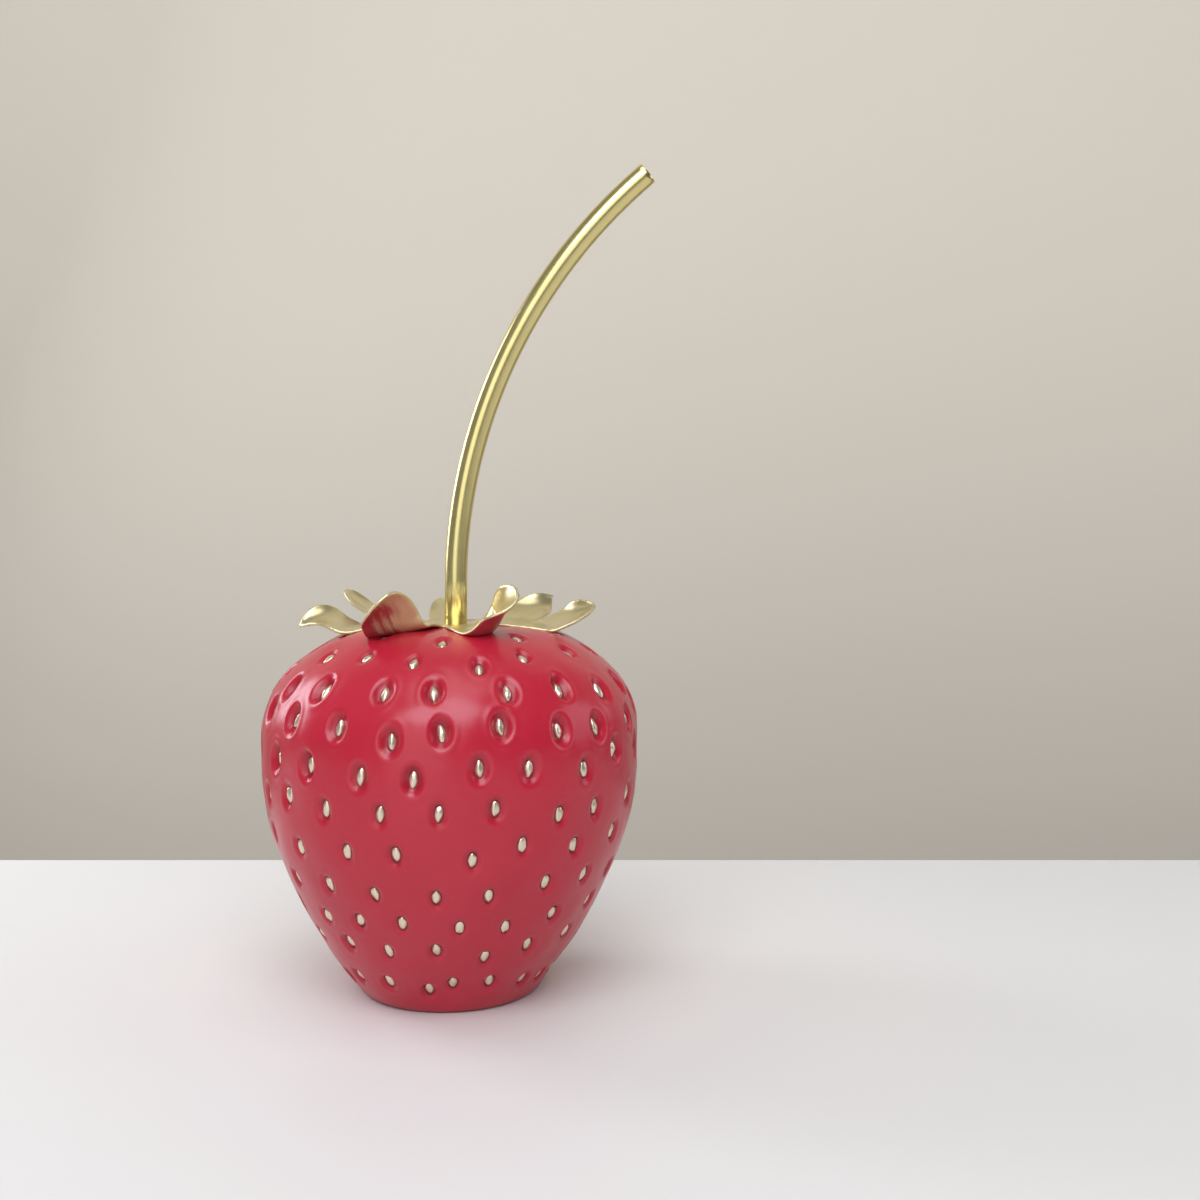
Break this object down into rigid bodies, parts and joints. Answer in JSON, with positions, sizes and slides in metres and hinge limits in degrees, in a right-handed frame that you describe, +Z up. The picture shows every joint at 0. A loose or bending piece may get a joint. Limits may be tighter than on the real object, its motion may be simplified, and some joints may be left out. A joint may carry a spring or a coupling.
{
  "type": "strawberry ornament",
  "caption": "Decorative cast strawberry on a small flat foot, with dimpled seeds, a crown of curling leaves and a bent metal tube for its stem.",
  "frame": {"origin": "centre of the flat foot that the berry stands on", "axes": "+Z up through the crown, +X towards the side that the stem bends to"},
  "size_m": [0.1663, 0.1599, 0.3488],
  "materials": {
    "berry_lacquer": "red satin-gloss lacquer on cast resin",
    "gold_paint": "champagne-gold metallic paint brushed over red on cast resin",
    "satin_brass": "satin brass-coloured metal tube"
  },
  "bodies": {
    "root": {"berry": "berry_lacquer", "calyx": "gold_paint", "stem": "satin_brass"}
  },
  "joints": []
}
